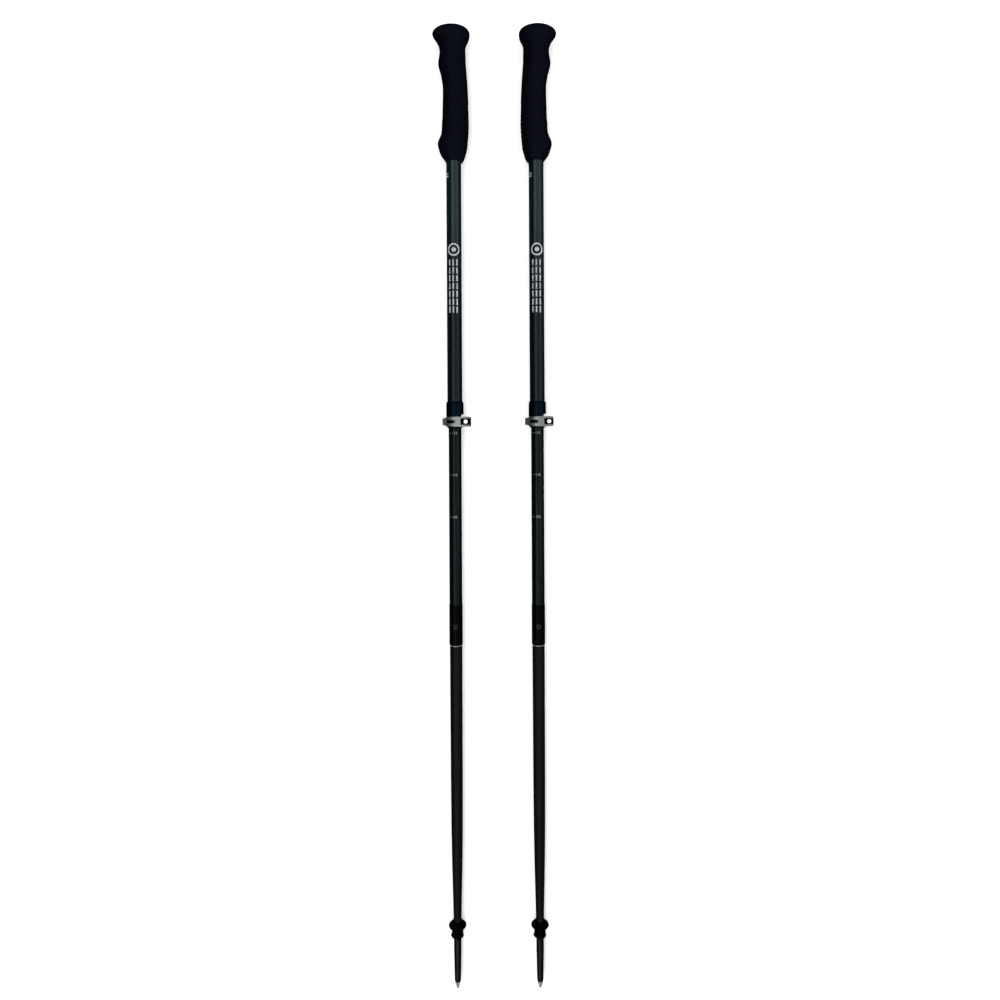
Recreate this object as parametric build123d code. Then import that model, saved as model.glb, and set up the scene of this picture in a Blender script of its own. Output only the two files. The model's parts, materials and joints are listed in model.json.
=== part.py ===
from build123d import *
import math
import os

# A pair of telescopic trekking poles lying side by side on a flat surface (z = 0).
# Sizes are in millimetres. Each pole is first built standing up in its own frame: the pole's
# axis is Z with the tip point at z = 0, X is across the pole, and -Y is the side that faces up
# once the pole is laid down. Heights below are distances along the pole from the tip point.

# ---- the pair ----
POLE_SPACING = 98.7
POLE_SIDES = {"left": -1, "right": 1}

# ---- tip ----
POINT_RADIUS = 1.5
POINT_BURIED = 6.5
COLLAR_BOTTOM = 2.4
COLLAR_TOP = 8.0
COLLAR_STEM_TOP = 16.0
COLLAR_STEM_RADIUS = 2.2
TIP_END_RADIUS = 3.8
SHANK_RADIUS = 4.45
SHANK_BOTTOM = 43.0
SHANK_TOP = 58.0
TIP_THREAD_RADIUS = 4.95
LOWER_TUBE_BOTTOM = 81.5
TIP_SPIGOT_TOP = 112.0

# ---- basket hub ----
HUB_BOTTOM = 61.9
HUB_TOP = 81.0
HUB_BORE_RADIUS = TIP_THREAD_RADIUS + 0.1
HUB_LIP_RADIUS = 7.35
HUB_NECK_RADIUS = 6.85
HUB_FLANGE_RADIUS = 10.5
HUB_FLANGE_BOTTOM = 73.6
HUB_FLANGE_TOP = 75.8
HUB_BOSS_RADIUS = 5.8
HUB_LUG_REACH = 7.9

# ---- tubes ----
TUBE_WALL = 0.9
LOWER_TUBE_TOP = 409.75
LOWER_TUBE_OUTLINE = (
    (4.75, LOWER_TUBE_BOTTOM),
    (6.2, 147.0),
    (6.85, 190.0),
    (7.15, 248.0),
    (7.45, LOWER_TUBE_TOP),
)
MID_RADIUS = 7.65
MID_BORE_RADIUS = MID_RADIUS - TUBE_WALL
MID_TOP = 880.0
UPPER_BORE_RADIUS = 8.0
UPPER_RADIUS = 8.95
UPPER_TOP = 1133.0

# ---- screw joint between the lower and the middle section ----
STUD_RADIUS = 4.5
STUD_TOP = 427.5
THREAD_CLEARANCE = 0.08
FACE_GAP = 0.05
RING_BOTTOM = LOWER_TUBE_TOP + FACE_GAP
RING_TOP = 410.75
RING_RADIUS = 7.6
SLEEVE_BOTTOM = 410.9
SLEEVE_TOP = 459.0
SLEEVE_RADIUS = 8.0
FEMALE_INSERT_TOP = 446.0
INSERT_FLANGE = 1.5

# ---- clamp ----
CLAMP_CENTRE = 677.4
BAND_HEIGHT = 12.0
BAND_BOTTOM = CLAMP_CENTRE - BAND_HEIGHT / 2
BAND_TOP = CLAMP_CENTRE + BAND_HEIGHT / 2
BAND_BORE_RADIUS = 8.95
BAND_RADIUS = 10.2
FERRULE_BOTTOM = 669.9
FERRULE_SHOULDER = 690.0
FERRULE_TOP = 701.5
FERRULE_COLLAR_RADIUS = 10.4
FERRULE_LIP_RADIUS = 9.1
FERRULE_BORE_RADIUS = MID_RADIUS + 0.08
FERRULE_SLOT_TOP = 686.2
SLIT_WIDTH = 2.0
EAR_END_X = 19.2
EAR_FRONT = 3.4
EAR_BACK = -3.6
PAD_THICKNESS = 0.6
PAD_ENDS_X = (9.8, 18.2)
PIVOT_X = 13.3
PIVOT_DEPTH = 9.6
BARREL_RADIUS = 4.4
BARREL_MIDDLE_HEIGHT = 7.1
JOURNAL_RADIUS = 2.9
SCREW_RADIUS = 2.1
SCREW_END_RADIUS = 2.4
SCREW_HEAD_RADIUS = 3.6
SCREW_HEAD_HEIGHT = 3.0
HOLE_CLEARANCE = 0.08

# ---- lever ----
CAM_RADIUS = 4.8
CAM_OFFSET = (-0.4, -0.6)
WINDOW_HEIGHT = 7.3
WINDOW_LEFT_X = 7.5
LEVER_TIP_X = -15.0
LEVER_TIP_HEIGHT = 8.4
LEVER_SLOT = (-9.4, 0.2)
LEVER_SLOT_HEIGHT = 3.8

# ---- grip ----
GRIP_BOTTOM = 988.0
GRIP_TOP = 1151.2
GRIP_WIDEST = 1141.7
HEAD_HALF_DEPTH = 17.5
GRIP_BORE_RADIUS = UPPER_RADIUS + 0.05
# height, reach towards the fingers, reach towards the palm, half depth
GRIP_SECTIONS = (
    (GRIP_BOTTOM, 9.9, 9.9, 9.9),
    (993.1, 12.9, 13.3, 11.9),
    (1002.7, 17.4, 16.6, 13.9),
    (1008.5, 18.9, 17.3, 14.4),
    (1012.3, 18.6, 17.6, 14.6),
    (1017.1, 16.4, 18.1, 14.8),
    (1022.5, 14.6, 18.5, 14.8),
    (1031.5, 13.9, 18.8, 14.8),
    (1060.2, 13.3, 18.0, 14.6),
    (1084.2, 13.6, 16.8, 14.4),
    (1093.8, 15.1, 16.1, 14.4),
    (1105.8, 17.9, 15.2, 14.4),
    (1117.7, 16.3, 14.9, 14.4),
    (1127.3, 17.3, 15.4, 14.8),
    (1134.5, 21.2, 18.8, 16.7),
    (1138.5, 24.0, 19.8, 17.3),
    (GRIP_WIDEST, 24.9, 20.0, HEAD_HALF_DEPTH),
)
# The head's dome above the widest section: it narrows by this power of the angle's cosine.
DOME_ANGLES = (0, 18, 36, 54, 70, 80)
DOME_POWER = 1.3

# The grip's head and the hub's flange both rest on the surface, so the axis slopes slightly.
FLANGE_MIDDLE = (HUB_FLANGE_BOTTOM + HUB_FLANGE_TOP) / 2
TILT = math.atan((HEAD_HALF_DEPTH - HUB_FLANGE_RADIUS) / (GRIP_WIDEST - FLANGE_MIDDLE))
AXIS_HEIGHT_AT_TIP = HUB_FLANGE_RADIUS * math.cos(TILT) - FLANGE_MIDDLE * math.sin(TILT)
TIP_Y = -GRIP_TOP * math.cos(TILT) / 2


def pole_location(side):
    """Where a standing pole's frame goes once the pole lies on the surface."""
    x_place = POLE_SIDES[side] * POLE_SPACING / 2
    return Location((x_place, TIP_Y, AXIS_HEIGHT_AT_TIP), (-90 + math.degrees(TILT), 0, 0))


def turned(*outline):
    """A solid of revolution about Z, from its corners as (radius, height)."""
    wire = Polyline(*[(radius, 0, height) for radius, height in outline], close=True)
    return revolve(make_face(wire), Axis.Z)


def disc(radius, bottom, top, x=0, depth=0):
    """A cylinder along Z between two heights."""
    return Pos(x, -depth, (bottom + top) / 2) * Cylinder(radius, top - bottom)


def block(x_low, x_high, depth_low, depth_high, bottom, top):
    """A box, with depth counted towards the side that faces up once the pole lies down."""
    centre = Pos((x_low + x_high) / 2, -(depth_low + depth_high) / 2, (bottom + top) / 2)
    return centre * Box(x_high - x_low, depth_high - depth_low, top - bottom)


def across(radius, depth_low, depth_high):
    """A cylinder along the tension screw's axis, between two depths."""
    centre = Pos(PIVOT_X, -(depth_low + depth_high) / 2, CLAMP_CENTRE)
    return centre * Rot(90, 0, 0) * Cylinder(radius, depth_high - depth_low)


def carbide_point():
    """The hard point, with the shallow hollow end that bites into rock."""
    return turned(
        (0, 0.5), (0.7, 0.35), (1.15, 0), (POINT_RADIUS, 0.6),
        (POINT_RADIUS, POINT_BURIED), (0, POINT_BURIED),
    )


def tip_collar():
    """The bright metal cone that holds the point, with a stem inside the tip."""
    return turned(
        (POINT_RADIUS, COLLAR_BOTTOM), (2.15, COLLAR_BOTTOM), (3.35, COLLAR_TOP - 1.6),
        (3.6, COLLAR_TOP), (COLLAR_STEM_RADIUS, COLLAR_TOP), (COLLAR_STEM_RADIUS, COLLAR_STEM_TOP),
        (0, COLLAR_STEM_TOP), (0, POINT_BURIED), (POINT_RADIUS, POINT_BURIED),
    )


def tip_body():
    """The moulded tip: tapered shank, basket thread and the spigot inside the lower tube."""
    spigot_low = LOWER_TUBE_OUTLINE[0][0] - TUBE_WALL
    return turned(
        (COLLAR_STEM_RADIUS, COLLAR_TOP), (3.4, COLLAR_TOP), (TIP_END_RADIUS, COLLAR_TOP + 1.6),
        (4.15, 31.0), (SHANK_RADIUS, SHANK_BOTTOM), (SHANK_RADIUS, SHANK_TOP),
        (TIP_THREAD_RADIUS - 0.3, SHANK_TOP + 0.8), (TIP_THREAD_RADIUS, SHANK_TOP + 1.4),
        (TIP_THREAD_RADIUS, LOWER_TUBE_BOTTOM - 0.6), (4.75, LOWER_TUBE_BOTTOM),
        (spigot_low, LOWER_TUBE_BOTTOM), (spigot_low, TIP_SPIGOT_TOP), (0, TIP_SPIGOT_TOP),
        (0, COLLAR_STEM_TOP), (COLLAR_STEM_RADIUS, COLLAR_STEM_TOP),
    )


def basket_hub():
    """The small threaded hub that stops the tip sinking, with a thin flange and a lug on its lip."""
    hub = turned(
        (HUB_BORE_RADIUS, HUB_BOTTOM), (HUB_LIP_RADIUS - 0.3, HUB_BOTTOM),
        (HUB_LIP_RADIUS, HUB_BOTTOM + 0.3), (HUB_LIP_RADIUS, HUB_BOTTOM + 1.2),
        (HUB_NECK_RADIUS, HUB_BOTTOM + 2.4), (HUB_NECK_RADIUS, HUB_FLANGE_BOTTOM - 1.6),
        (HUB_NECK_RADIUS + 1.4, HUB_FLANGE_BOTTOM - 0.2),
        (HUB_FLANGE_RADIUS - 0.6, HUB_FLANGE_BOTTOM),
        (HUB_FLANGE_RADIUS, HUB_FLANGE_BOTTOM + 0.7), (HUB_FLANGE_RADIUS, HUB_FLANGE_TOP - 0.7),
        (HUB_FLANGE_RADIUS - 0.6, HUB_FLANGE_TOP), (HUB_BOSS_RADIUS + 1.2, HUB_FLANGE_TOP + 0.3),
        (HUB_BOSS_RADIUS, HUB_FLANGE_TOP + 1.6), (HUB_BOSS_RADIUS, HUB_TOP - 0.4),
        (HUB_BOSS_RADIUS - 0.4, HUB_TOP), (HUB_BORE_RADIUS, HUB_TOP),
    )
    lug = block(-HUB_LUG_REACH, -HUB_NECK_RADIUS + 0.6, -2, 2, HUB_BOTTOM + 0.3, HUB_BOTTOM + 2)
    return hub + fillet(lug.edges().filter_by(Axis.Z).group_by(Axis.X)[0], 1.2)


def lower_tube():
    """The tapered carbon tube of the lower section."""
    inside = [(radius - TUBE_WALL, height) for radius, height in reversed(LOWER_TUBE_OUTLINE)]
    return turned(*LOWER_TUBE_OUTLINE, *inside)


def male_insert():
    """The metal insert in the lower tube's top end, with its threaded stud."""
    plug_radius = LOWER_TUBE_OUTLINE[-1][0] - TUBE_WALL - 0.1
    return turned(
        (0, 380.0), (plug_radius, 380.0), (plug_radius, LOWER_TUBE_TOP), (STUD_RADIUS, LOWER_TUBE_TOP),
        (STUD_RADIUS, STUD_TOP - 1), (STUD_RADIUS - 1, STUD_TOP), (0, STUD_TOP),
    )


def joint_ring():
    """The bright thrust ring between the two sections."""
    bore = STUD_RADIUS + 0.2
    return turned(
        (bore, RING_BOTTOM), (RING_RADIUS - 0.2, RING_BOTTOM), (RING_RADIUS, RING_BOTTOM + 0.2),
        (RING_RADIUS, RING_TOP - 0.2), (RING_RADIUS - 0.2, RING_TOP), (bore, RING_TOP),
    )


def female_insert():
    """The threaded metal insert in the middle tube's bottom end."""
    bore = STUD_RADIUS + THREAD_CLEARANCE
    tube_bottom = SLEEVE_BOTTOM + INSERT_FLANGE
    return turned(
        (bore, SLEEVE_BOTTOM), (MID_RADIUS, SLEEVE_BOTTOM), (MID_RADIUS, tube_bottom),
        (MID_BORE_RADIUS, tube_bottom), (MID_BORE_RADIUS, FEMALE_INSERT_TOP),
        (0, FEMALE_INSERT_TOP), (0, FEMALE_INSERT_TOP - 4), (bore, FEMALE_INSERT_TOP - 4),
    )


def joint_sleeve():
    """The black sleeve that strengthens the middle tube's bottom end."""
    return turned(
        (MID_RADIUS, SLEEVE_BOTTOM), (SLEEVE_RADIUS - 0.3, SLEEVE_BOTTOM),
        (SLEEVE_RADIUS, SLEEVE_BOTTOM + 0.6), (SLEEVE_RADIUS, SLEEVE_TOP - 0.6),
        (SLEEVE_RADIUS - 0.3, SLEEVE_TOP), (MID_RADIUS, SLEEVE_TOP),
    )


def mid_tube():
    """The middle carbon tube, which slides in the upper one."""
    bottom = SLEEVE_BOTTOM + INSERT_FLANGE
    return disc(MID_RADIUS, bottom, MID_TOP) - disc(MID_BORE_RADIUS, bottom - 1, MID_TOP + 1)


def mid_top_bushing():
    """The plastic guide on the middle tube's top end, a running fit in the upper tube."""
    guide_radius = UPPER_BORE_RADIUS - 0.05
    return turned(
        (5.2, MID_TOP - 12), (MID_BORE_RADIUS, MID_TOP - 12), (MID_BORE_RADIUS, MID_TOP),
        (guide_radius, MID_TOP), (guide_radius, MID_TOP + 6), (guide_radius - 1, MID_TOP + 7),
        (5.2, MID_TOP + 7),
    )


def clamp_ferrule():
    """The nylon ferrule on the upper tube's end, slotted so that the clamp can squeeze it."""
    seat_radius = BAND_BORE_RADIUS - FACE_GAP
    seat_low = BAND_BOTTOM - FACE_GAP
    seat_high = BAND_TOP + FACE_GAP
    body = turned(
        (FERRULE_BORE_RADIUS + 0.4, FERRULE_BOTTOM), (FERRULE_LIP_RADIUS - 0.3, FERRULE_BOTTOM),
        (FERRULE_LIP_RADIUS, FERRULE_BOTTOM + 0.3), (FERRULE_LIP_RADIUS, seat_low),
        (seat_radius, seat_low), (seat_radius, seat_high), (FERRULE_COLLAR_RADIUS, seat_high),
        (FERRULE_COLLAR_RADIUS, FERRULE_TOP - 1.6), (FERRULE_COLLAR_RADIUS - 1, FERRULE_TOP),
        (UPPER_RADIUS, FERRULE_TOP), (UPPER_RADIUS, FERRULE_SHOULDER),
        (FERRULE_BORE_RADIUS, FERRULE_SHOULDER), (FERRULE_BORE_RADIUS, FERRULE_BOTTOM + 0.4),
    )
    flex_slot = block(2.5, 12, -12, 12, seat_high, FERRULE_SLOT_TOP)
    slit = block(5, 12, -SLIT_WIDTH / 2, SLIT_WIDTH / 2, FERRULE_BOTTOM - 1, FERRULE_SLOT_TOP)
    return body - flex_slot - slit


def clamp_band():
    """The split clamp ring with its two ears, drilled for the tension screw."""
    band = disc(BAND_RADIUS, BAND_BOTTOM, BAND_TOP)
    front_ear = block(6, EAR_END_X, SLIT_WIDTH / 2, EAR_FRONT, BAND_BOTTOM, BAND_TOP)
    back_ear = block(6, EAR_END_X, EAR_BACK, -SLIT_WIDTH / 2, BAND_BOTTOM, BAND_TOP)
    ears = front_ear + back_ear
    ears = fillet(ears.edges().filter_by(Axis.Y).group_by(Axis.X)[-1], 1.6)
    band = band + ears
    band = band - disc(BAND_BORE_RADIUS, BAND_BOTTOM - 1, BAND_TOP + 1)
    split = block(0, EAR_END_X + 1, -SLIT_WIDTH / 2, SLIT_WIDTH / 2, BAND_BOTTOM - 1, BAND_TOP + 1)
    hole = across(SCREW_RADIUS + HOLE_CLEARANCE, EAR_BACK - 1, EAR_FRONT + 1)
    return band - split - hole


def thrust_pad():
    """The wear pad between the lever's cams and the front ear."""
    half_height = BAND_HEIGHT / 2 - 0.4
    pad = block(*PAD_ENDS_X, EAR_FRONT, EAR_FRONT + PAD_THICKNESS,
                CLAMP_CENTRE - half_height, CLAMP_CENTRE + half_height)
    return pad - across(SCREW_RADIUS + HOLE_CLEARANCE, EAR_FRONT - 1, EAR_FRONT + PAD_THICKNESS + 1)


def barrel_nut():
    """The cross barrel that the lever turns on and the tension screw threads into."""
    def cross_disc(radius, height):
        low = CLAMP_CENTRE - height / 2
        return disc(radius, low, low + height, PIVOT_X, PIVOT_DEPTH)

    front = PIVOT_DEPTH + BARREL_RADIUS
    back = PIVOT_DEPTH - BARREL_RADIUS
    middle = cross_disc(BARREL_RADIUS, BARREL_MIDDLE_HEIGHT)
    journals = cross_disc(JOURNAL_RADIUS, BAND_HEIGHT - 0.3)
    front_hole = across(SCREW_END_RADIUS + HOLE_CLEARANCE, PIVOT_DEPTH + 1.4, front + 1)
    back_hole = across(SCREW_RADIUS + HOLE_CLEARANCE, back - 1, PIVOT_DEPTH + 2)
    return middle + journals - front_hole - back_hole


def tension_screw():
    """The clamp's screw: socket head behind the back ear, peened bright end in the barrel."""
    front_end = PIVOT_DEPTH + BARREL_RADIUS - 0.1
    head_top = EAR_BACK - 0.05
    head_bottom = head_top - SCREW_HEAD_HEIGHT
    shank = across(SCREW_RADIUS, head_top - 0.5, PIVOT_DEPTH + 2)
    end = across(SCREW_END_RADIUS, PIVOT_DEPTH + 1.5, front_end)
    end = fillet(end.edges().sort_by(Axis.Y)[0], 0.5)
    head = across(SCREW_HEAD_RADIUS, head_bottom, head_top)
    head = chamfer(head.edges().sort_by(Axis.Y)[-1], 0.4)
    hexagon = Plane(origin=(PIVOT_X, -head_bottom, CLAMP_CENTRE), x_dir=(1, 0, 0), z_dir=(0, 1, 0))
    socket = extrude(hexagon * RegularPolygon(1.7, 6), amount=-1.8)
    return shank + end + head - socket


def lever_plan():
    """The lever seen along the pole: an arm that wraps over the tube, as a closed face."""
    lobe_top = (PIVOT_X, -(PIVOT_DEPTH + CAM_RADIUS))
    outer = Spline(
        lobe_top, (5.0, -14.1), (-3.0, -13.1), (-9.4, -9.9), (-13.0, -5.6), (LEVER_TIP_X, -2.4),
        tangents=((-1, 0), (-0.4, 1)),
    )
    tip = Line((LEVER_TIP_X, -2.4), (-13.4, -1.7))
    inner = Spline(
        (-13.4, -1.7), (-11.6, -4.8), (-8.3, -7.8), (-3.6, -10.2), (2.4, -10.8), (8.6, -8.4),
        tangents=((0.3, -1), (0.8, 0.5)),
    )
    closing = Polyline((8.6, -8.4), (PIVOT_X, -PIVOT_DEPTH), lobe_top)
    return make_face(outer + tip + inner + closing)


def clamp_lever():
    """The lever: wrapping arm, forked end with a cam on each tine, slot and window."""
    half = BAND_HEIGHT / 2
    low = CLAMP_CENTRE - half
    arm = Pos(0, 0, low) * extrude(lever_plan(), amount=BAND_HEIGHT, dir=(0, 0, 1))
    top = low + BAND_HEIGHT
    lobe = disc(CAM_RADIUS, low, top, PIVOT_X, PIVOT_DEPTH)
    cam = disc(CAM_RADIUS, low, top, PIVOT_X + CAM_OFFSET[0], PIVOT_DEPTH + CAM_OFFSET[1])
    lever = arm + lobe + cam
    # the arm narrows towards the tip, with rounded shoulders
    tip_half = LEVER_TIP_HEIGHT / 2
    for sign in (-1, 1):
        waste = Polyline(
            (LEVER_TIP_X - 2, sign * tip_half), (-12.4, sign * (tip_half + 0.1)),
            (-9.6, sign * (half - 0.6)), (5.0, sign * half), (5.0, sign * (half + 2)),
            (LEVER_TIP_X - 2, sign * (half + 2)), close=True,
        )
        plane = Plane(origin=(0, 5, CLAMP_CENTRE), x_dir=(1, 0, 0), z_dir=(0, -1, 0))
        lever = lever - extrude(plane * make_face(waste), amount=25)
    window_low = CLAMP_CENTRE - WINDOW_HEIGHT / 2
    window = block(WINDOW_LEFT_X, 22, 0, 20, window_low, window_low + WINDOW_HEIGHT)
    journal_hole = disc(JOURNAL_RADIUS + HOLE_CLEARANCE, low - 1, top + 1, PIVOT_X, PIVOT_DEPTH)
    slot_middle = (LEVER_SLOT[0] + LEVER_SLOT[1]) / 2
    slot_length = LEVER_SLOT[1] - LEVER_SLOT[0]
    slot_plane = Plane(origin=(slot_middle, 0, CLAMP_CENTRE), x_dir=(1, 0, 0), z_dir=(0, -1, 0))
    slot = extrude(slot_plane * SlotOverall(slot_length, LEVER_SLOT_HEIGHT), amount=20)
    return lever - window - journal_hole - slot


def upper_tube():
    """The upper carbon tube, from the ferrule's shoulder to its end inside the grip."""
    return disc(UPPER_RADIUS, FERRULE_SHOULDER, UPPER_TOP) - disc(
        UPPER_BORE_RADIUS, FERRULE_SHOULDER - 1, UPPER_TOP + 1
    )


def tube_end_plug():
    """The plug that closes the upper tube inside the grip."""
    return turned(
        (0, UPPER_TOP - 13), (UPPER_BORE_RADIUS, UPPER_TOP - 13), (UPPER_BORE_RADIUS, UPPER_TOP),
        (UPPER_RADIUS, UPPER_TOP), (UPPER_RADIUS, UPPER_TOP + 1.5), (0, UPPER_TOP + 1.5),
    )


def dome_section(angle):
    """One section of the head's dome, from 0 degrees at the widest to 90 at the top."""
    _, fingers, palm, half_depth = GRIP_SECTIONS[-1]
    height = GRIP_WIDEST + (GRIP_TOP - GRIP_WIDEST) * math.sin(math.radians(angle))
    share = math.cos(math.radians(angle)) ** DOME_POWER
    return height, fingers * share, palm * share, half_depth * share


def grip_loft(sections, finger_sign):
    """A smooth solid through oval sections."""
    outlines = []
    for height, fingers, palm, half_depth in sections:
        centre_x = finger_sign * (fingers - palm) / 2
        outlines.append(Plane(origin=(centre_x, 0, height)) * Ellipse((fingers + palm) / 2, half_depth))
    return loft(outlines)


def grip_foam(side):
    """The foam grip: finger bumps towards the outside of the pair, blind bore for the tube."""
    finger_sign = POLE_SIDES[side]
    body = grip_loft(GRIP_SECTIONS, finger_sign)
    dome = grip_loft([dome_section(angle) for angle in DOME_ANGLES], finger_sign)
    bore = disc(GRIP_BORE_RADIUS, GRIP_BOTTOM - 1, UPPER_TOP + 1.7)
    return body + dome - bore


SHARED_PIECES = {
    "carbide_point": carbide_point,
    "tip_collar": tip_collar,
    "tip_body": tip_body,
    "basket_hub": basket_hub,
    "lower_tube": lower_tube,
    "male_insert": male_insert,
    "joint_ring": joint_ring,
    "female_insert": female_insert,
    "joint_sleeve": joint_sleeve,
    "mid_tube": mid_tube,
    "mid_top_bushing": mid_top_bushing,
    "clamp_ferrule": clamp_ferrule,
    "clamp_band": clamp_band,
    "thrust_pad": thrust_pad,
    "barrel_nut": barrel_nut,
    "tension_screw": tension_screw,
    "clamp_lever": clamp_lever,
    "upper_tube": upper_tube,
    "tube_end_plug": tube_end_plug,
}


def main():
    os.makedirs("parts", exist_ok=True)
    standing = {name: make() for name, make in SHARED_PIECES.items()}
    for side in POLE_SIDES:
        place = pole_location(side)
        pieces = dict(standing, grip_foam=grip_foam(side))
        for name, solid in pieces.items():
            export_step(place * solid, f"parts/{side}_{name}.step")


main()
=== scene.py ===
import json
import math

import bmesh
import bpy
import numpy as np
from mathutils import Matrix, Vector
from mathutils.bvhtree import BVHTree


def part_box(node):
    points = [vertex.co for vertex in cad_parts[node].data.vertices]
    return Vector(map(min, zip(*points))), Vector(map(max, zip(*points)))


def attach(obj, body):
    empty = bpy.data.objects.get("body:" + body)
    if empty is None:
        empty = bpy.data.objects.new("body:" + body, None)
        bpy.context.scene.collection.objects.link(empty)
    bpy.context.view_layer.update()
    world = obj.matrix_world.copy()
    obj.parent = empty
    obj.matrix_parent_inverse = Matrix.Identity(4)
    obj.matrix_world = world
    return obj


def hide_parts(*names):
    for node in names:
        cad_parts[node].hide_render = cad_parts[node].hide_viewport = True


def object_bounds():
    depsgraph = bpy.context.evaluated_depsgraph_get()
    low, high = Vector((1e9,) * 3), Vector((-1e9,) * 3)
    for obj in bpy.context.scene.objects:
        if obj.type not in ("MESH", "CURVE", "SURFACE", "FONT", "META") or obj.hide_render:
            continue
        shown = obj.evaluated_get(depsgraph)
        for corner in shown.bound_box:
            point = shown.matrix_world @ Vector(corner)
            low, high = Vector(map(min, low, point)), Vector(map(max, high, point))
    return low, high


# A pair of telescopic trekking poles lying side by side. The CAD nodes are the frame; the grips, levers,
# ferrules, hubs and threaded pieces are made again here with finer shapes, from the CAD surfaces.
# Row frame: metres. Pole frame: millimetres, with Z along the pole from its tip point, X across it and
# -Y away from the floor. Heights (s) are distances along Z.

SIDES = {"left": -1, "right": 1}  # which way the fingers' side of the grip faces
MM = 0.001

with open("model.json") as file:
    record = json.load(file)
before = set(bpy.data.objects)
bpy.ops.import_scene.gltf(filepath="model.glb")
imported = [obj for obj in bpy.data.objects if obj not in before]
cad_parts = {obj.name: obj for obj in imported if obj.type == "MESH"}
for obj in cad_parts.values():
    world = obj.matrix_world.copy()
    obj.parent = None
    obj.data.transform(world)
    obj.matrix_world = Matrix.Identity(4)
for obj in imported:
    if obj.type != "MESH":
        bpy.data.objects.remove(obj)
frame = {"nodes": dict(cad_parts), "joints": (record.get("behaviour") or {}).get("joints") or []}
cad_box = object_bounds()


def pole_frame(side):
    """The matrix from a pole's frame, in millimetres, to the row frame, in metres."""
    joint = next(j for j in frame["joints"] if j["name"] == f"{side}_unscrew")
    along = -Vector(joint["axis"])
    on_axis = Vector(joint["pos_m"])
    tip_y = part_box(f"{side}_carbide_point")[0].y
    tip = on_axis - along * ((on_axis.y - tip_y) / along.y)
    across = Vector((1, 0, 0))
    down = along.cross(across)
    turn = Matrix((across, down, along)).transposed().to_4x4()
    return Matrix.Translation(tip) @ turn @ Matrix.Scale(MM, 4)


POLE = {side: pole_frame(side) for side in SIDES}
TO_POLE = {side: POLE[side].inverted() for side in SIDES}


# ---------------------------------------------------------------- shapes

SAME_CORNER = 0.002  # corners of a CAD mesh closer than this are one


def numbers(mesh, what="co"):
    """A mesh's vertex coordinates or normals as an array."""
    flat = np.zeros(len(mesh.vertices) * 3, np.float32)
    source = mesh.vertices if what == "co" else mesh.vertex_normals
    source.foreach_get("co" if what == "co" else "vector", flat)
    return flat.reshape(-1, 3).astype(float)


def pole_mesh(node, side="left"):
    """A CAD node's mesh in its pole's frame, with the faces' shared corners joined."""
    mesh = frame["nodes"][f"{side}_{node}"].data.copy()
    mesh.transform(TO_POLE[side])
    shape = bmesh.new()
    shape.from_mesh(mesh)
    bmesh.ops.remove_doubles(shape, verts=shape.verts, dist=SAME_CORNER)
    bare = bpy.data.meshes.new(f"{node}_plain")
    shape.to_mesh(bare)
    shape.free()
    bpy.data.meshes.remove(mesh)
    return bare


def span(node, side="left"):
    """Lowest and highest corner of a CAD node in its pole's frame."""
    mesh = pole_mesh(node, side)
    points = numbers(mesh)
    bpy.data.meshes.remove(mesh)
    return points.min(0), points.max(0)


def solid_from(points, faces, name):
    """A smooth-shaded mesh from points in the pole's frame."""
    mesh = bpy.data.meshes.new(name)
    mesh.from_pydata([tuple(p) for p in points], [], faces)
    mesh.validate()
    shape = bmesh.new()
    shape.from_mesh(mesh)
    bmesh.ops.recalc_face_normals(shape, faces=shape.faces)
    shape.to_mesh(mesh)
    shape.free()
    mesh.shade_smooth()
    return mesh


def skin(rings, name):
    """A closed mesh through rings of equally many points, with a cap on each end."""
    count = len(rings[0])
    points = np.concatenate([np.asarray(ring, float) for ring in rings])
    faces = []
    for row in range(len(rings) - 1):
        for i in range(count):
            j = (i + 1) % count
            low, high = row * count, (row + 1) * count
            faces.append((low + i, low + j, high + j, high + i))
    faces.append(tuple(range(count)))
    faces.append(tuple(range((len(rings) - 1) * count, len(rings) * count)))
    return solid_from(points, faces, name)


def place(mesh, name, side, body, *replaced, material, slot):
    """Puts a copy of a mesh on a pole as a piece that rides on a body and stands for CAD nodes."""
    made = mesh.copy()
    made.name = name
    made.transform(POLE[side])
    piece = bpy.data.objects.new(name, made)
    bpy.context.scene.collection.objects.link(piece)
    made.materials.clear()
    made.materials.append(material)
    if replaced:
        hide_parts(*replaced)
    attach(piece, body)
    return piece


def evened(node, voxel, rounds, relief=None):
    """A CAD node as an even mesh with softly rounded edges, then pushed out by relief(points, normals)."""
    worker = bpy.data.objects.new("worker", pole_mesh(node))
    bpy.context.scene.collection.objects.link(worker)
    remesh = worker.modifiers.new("even", "REMESH")
    remesh.mode = "VOXEL"
    remesh.voxel_size = voxel
    remesh.use_smooth_shade = True
    soften = worker.modifiers.new("soft", "SMOOTH")
    soften.factor = 0.5
    soften.iterations = rounds
    graph = bpy.context.evaluated_depsgraph_get()
    mesh = bpy.data.meshes.new_from_object(worker.evaluated_get(graph))
    bpy.data.objects.remove(worker)
    if relief:
        points = numbers(mesh)
        normals = numbers(mesh, "normal")
        points += normals * relief(points, normals)[:, None]
        mesh.vertices.foreach_set("co", points.astype(np.float32).ravel())
        mesh.update()
    mesh.shade_smooth()
    return mesh


def ease(value, start, end):
    """0 before start, 1 after end, smooth between; start may be the larger."""
    t = np.clip((np.asarray(value, float) - start) / (end - start), 0, 1)
    return t * t * (3 - 2 * t)


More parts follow.
